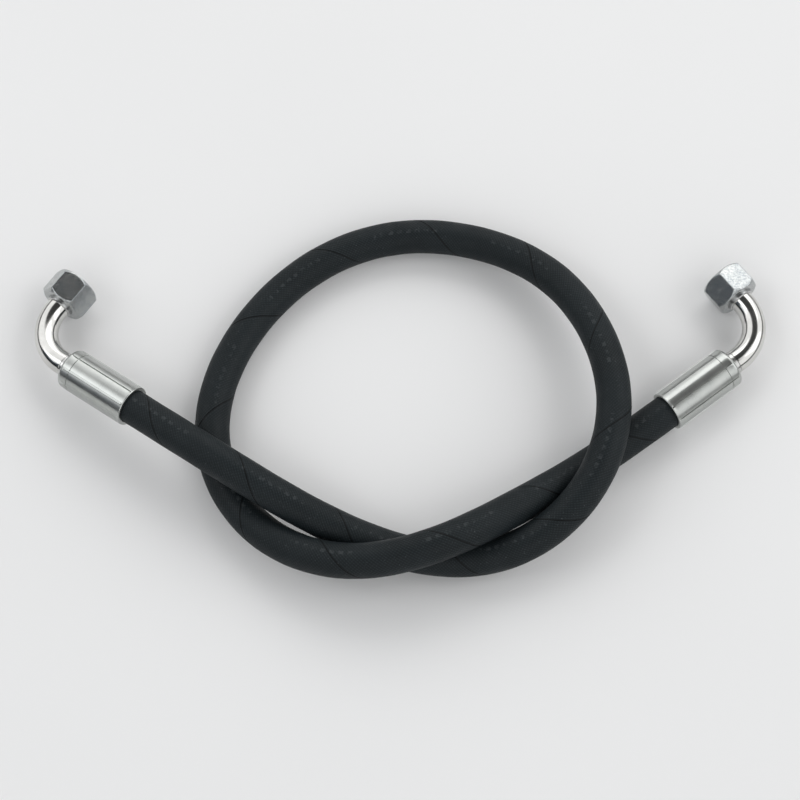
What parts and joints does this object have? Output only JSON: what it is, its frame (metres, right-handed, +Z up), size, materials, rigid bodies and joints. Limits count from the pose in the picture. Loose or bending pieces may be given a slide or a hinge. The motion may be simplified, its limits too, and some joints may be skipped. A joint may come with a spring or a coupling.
{
  "type": "hydraulic hose assembly",
  "caption": "Rubber hydraulic hose in one open loop, with a crimped swept elbow fitting and a captive hexagonal swivel nut at each end.",
  "frame": {"origin": "centre of the base of the box around the two end fittings, on the surface that the assembly lies on", "axes": "+X from the left fitting to the right fitting, +Z up out of the plane that the loop lies in, +Y away from the viewer, the way both swivel nuts point"},
  "size_m": [0.3686, 0.197, 0.0363],
  "materials": {
    "cover_rubber": "matt, cloth-wrapped",
    "inner_rubber": "smooth",
    "braid_wire": "brass-coated wire",
    "ferrule_steel": "zinc-plated, satin",
    "insert_steel": "zinc-plated, turned",
    "tube_steel": "bright-plated, polished",
    "nut_steel": "zinc-plated, bright",
    "wire_steel": "drawn wire",
    "seal_rubber": "smooth"
  },
  "bodies": {
    "hose_and_elbows": {"hose_inner_tube": "inner_rubber", "hose_wire_braid": "braid_wire", "hose_cover": "cover_rubber", "left_ferrule": "ferrule_steel", "left_insert": "insert_steel", "left_elbow_tube": "tube_steel", "left_cone_head": "tube_steel", "left_o_ring": "seal_rubber", "left_retaining_wire": "wire_steel", "right_ferrule": "ferrule_steel", "right_insert": "insert_steel", "right_elbow_tube": "tube_steel", "right_cone_head": "tube_steel", "right_o_ring": "seal_rubber", "right_retaining_wire": "wire_steel"},
    "left_nut": {"left_swivel_nut": "nut_steel"},
    "right_nut": {"right_swivel_nut": "nut_steel"}
  },
  "joints": [
    {"name": "left_nut_spin", "type": "hinge", "parent": "hose_and_elbows", "child": "left_nut", "pos_m": [-0.16869, 0.02784, 0.01311], "axis": [0.5812, 0.8137, 0], "continuous": true},
    {"name": "right_nut_spin", "type": "hinge", "parent": "hose_and_elbows", "child": "right_nut", "pos_m": [0.16684, 0.03137, 0.01275], "axis": [-0.5994, 0.8003, -0.0174], "continuous": true}
  ]
}
